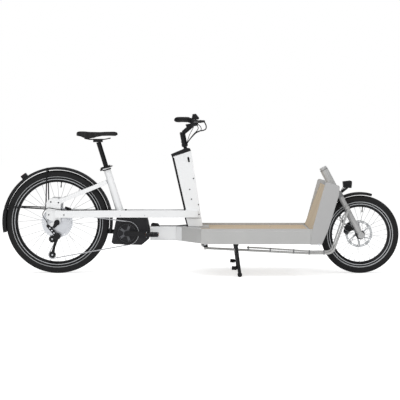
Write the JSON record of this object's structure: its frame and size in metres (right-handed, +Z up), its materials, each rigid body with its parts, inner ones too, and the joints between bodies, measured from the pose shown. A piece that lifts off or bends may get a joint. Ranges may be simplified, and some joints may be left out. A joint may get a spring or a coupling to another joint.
{
  "type": "electric cargo bicycle",
  "caption": "Long front-loading electric cargo bicycle with a wooden load deck, rod steering, mid motor and a double-leg stand.",
  "frame": {"origin": "middle of the footprint, on the floor midway between the mudguard tail and the front tyre", "axes": "+X forward towards the load deck and front wheel, +Y to the rider's left, +Z up"},
  "size_m": [2.6119, 0.6648, 1.0509],
  "materials": {
    "white_paint": "gloss",
    "grey_paint": "satin",
    "dark_paint": "satin",
    "black_metal": "satin",
    "black_plastic": "matte",
    "motor_shell": "matte",
    "deck_wood": "satin",
    "tyre": "matte",
    "rim": "satin",
    "spoke": "polished",
    "steel": "brushed",
    "saddle": "matte",
    "rubber": "matte",
    "lamp": "gloss",
    "red_lens": "gloss"
  },
  "bodies": {
    "chassis": {"side_beams": "white_paint", "seat_stays": "white_paint", "seat_tube": "white_paint", "seat_clamp": "black_metal", "seat_post": "black_metal", "saddle": "saddle", "motor": "motor_shell", "motor_bracket": "black_metal", "spine": "white_paint", "flare_plates": "grey_paint", "side_rails": "grey_paint", "crossmembers": "grey_paint", "deck": "deck_wood", "wall_board": "deck_wood", "wall_panel": "grey_paint", "wall_wings": "grey_paint", "gooseneck": "grey_paint", "head_tube": "grey_paint", "tower": "white_paint", "tower_cap": "black_plastic", "rear_fender": "black_plastic", "fender_stays": "black_metal", "tail_light": "red_lens", "derailleur": "black_metal", "jockey_wheels": "black_plastic", "chain": "steel", "rear_caliper": "black_metal", "frame_cables": "rubber", "stand_brackets": "black_metal"},
    "handlebar": {"steering_column": "black_metal", "stem": "black_metal", "handlebar": "black_metal", "grips": "rubber", "brake_levers": "black_metal", "display": "black_plastic", "control_hoses": "rubber"},
    "tie_rod": {"tie_rod": "grey_paint"},
    "fork": {"fork": "grey_paint", "fork_crown": "dark_paint", "fork_hose": "rubber", "front_fender": "black_plastic", "headlight": "lamp", "light_bracket": "black_metal", "front_caliper": "black_metal"},
    "front_wheel": {"front_tyre": "tyre", "front_rim": "rim", "front_hub": "black_metal", "front_spokes": "spoke", "front_rotor": "steel"},
    "rear_wheel": {"rear_tyre": "tyre", "rear_rim": "rim", "rear_hub": "black_metal", "rear_spokes": "spoke", "rear_rotor": "steel", "cassette": "steel"},
    "crankset": {"cranks": "black_metal", "chainring": "black_metal"},
    "right_pedal": {"right_pedal": "black_plastic"},
    "left_pedal": {"left_pedal": "black_plastic"},
    "stand": {"stand": "black_metal"}
  },
  "joints": [
    {"name": "steering", "type": "hinge", "parent": "chassis", "child": "handlebar", "pos_m": [-0.1, 0, 0.815], "axis": [-0.1908, 0, 0.9816], "range_deg": [-30, 30]},
    {"name": "rod_pivot", "type": "hinge", "parent": "handlebar", "child": "tie_rod", "pos_m": [0.03169, -0.112, 0.18991], "axis": [-0.1946, 0.034, 0.9803], "range_deg": [-30, 30]},
    {"name": "fork_steer", "type": "hinge", "parent": "chassis", "child": "fork", "pos_m": [0.89933, 0, 0.51719], "axis": [-0.4695, 0, 0.8829], "range_deg": [-30, 30]},
    {"name": "front_wheel_spin", "type": "hinge", "parent": "fork", "child": "front_wheel", "pos_m": [1.049, 0, 0.257], "axis": [0, 1, 0], "continuous": true},
    {"name": "rear_wheel_spin", "type": "hinge", "parent": "chassis", "child": "rear_wheel", "pos_m": [-0.944, 0, 0.34], "axis": [0, 1, 0], "continuous": true},
    {"name": "crank_spin", "type": "hinge", "parent": "chassis", "child": "crankset", "pos_m": [-0.486, 0, 0.268], "axis": [0, 1, 0], "continuous": true},
    {"name": "right_pedal_spin", "type": "hinge", "parent": "crankset", "child": "right_pedal", "pos_m": [-0.316, -0.14, 0.268], "axis": [0, 1, 0], "continuous": true},
    {"name": "left_pedal_spin", "type": "hinge", "parent": "crankset", "child": "left_pedal", "pos_m": [-0.656, 0.14, 0.268], "axis": [0, 1, 0], "continuous": true},
    {"name": "stand_fold", "type": "hinge", "parent": "chassis", "child": "stand", "pos_m": [0.226, 0, 0.212], "axis": [0, 1, 0], "range_deg": [0, 72]}
  ],
  "couplings": [
    {"joint": "rod_pivot", "follows": "steering", "ratio": -1},
    {"joint": "fork_steer", "follows": "steering", "ratio": 1}
  ]
}
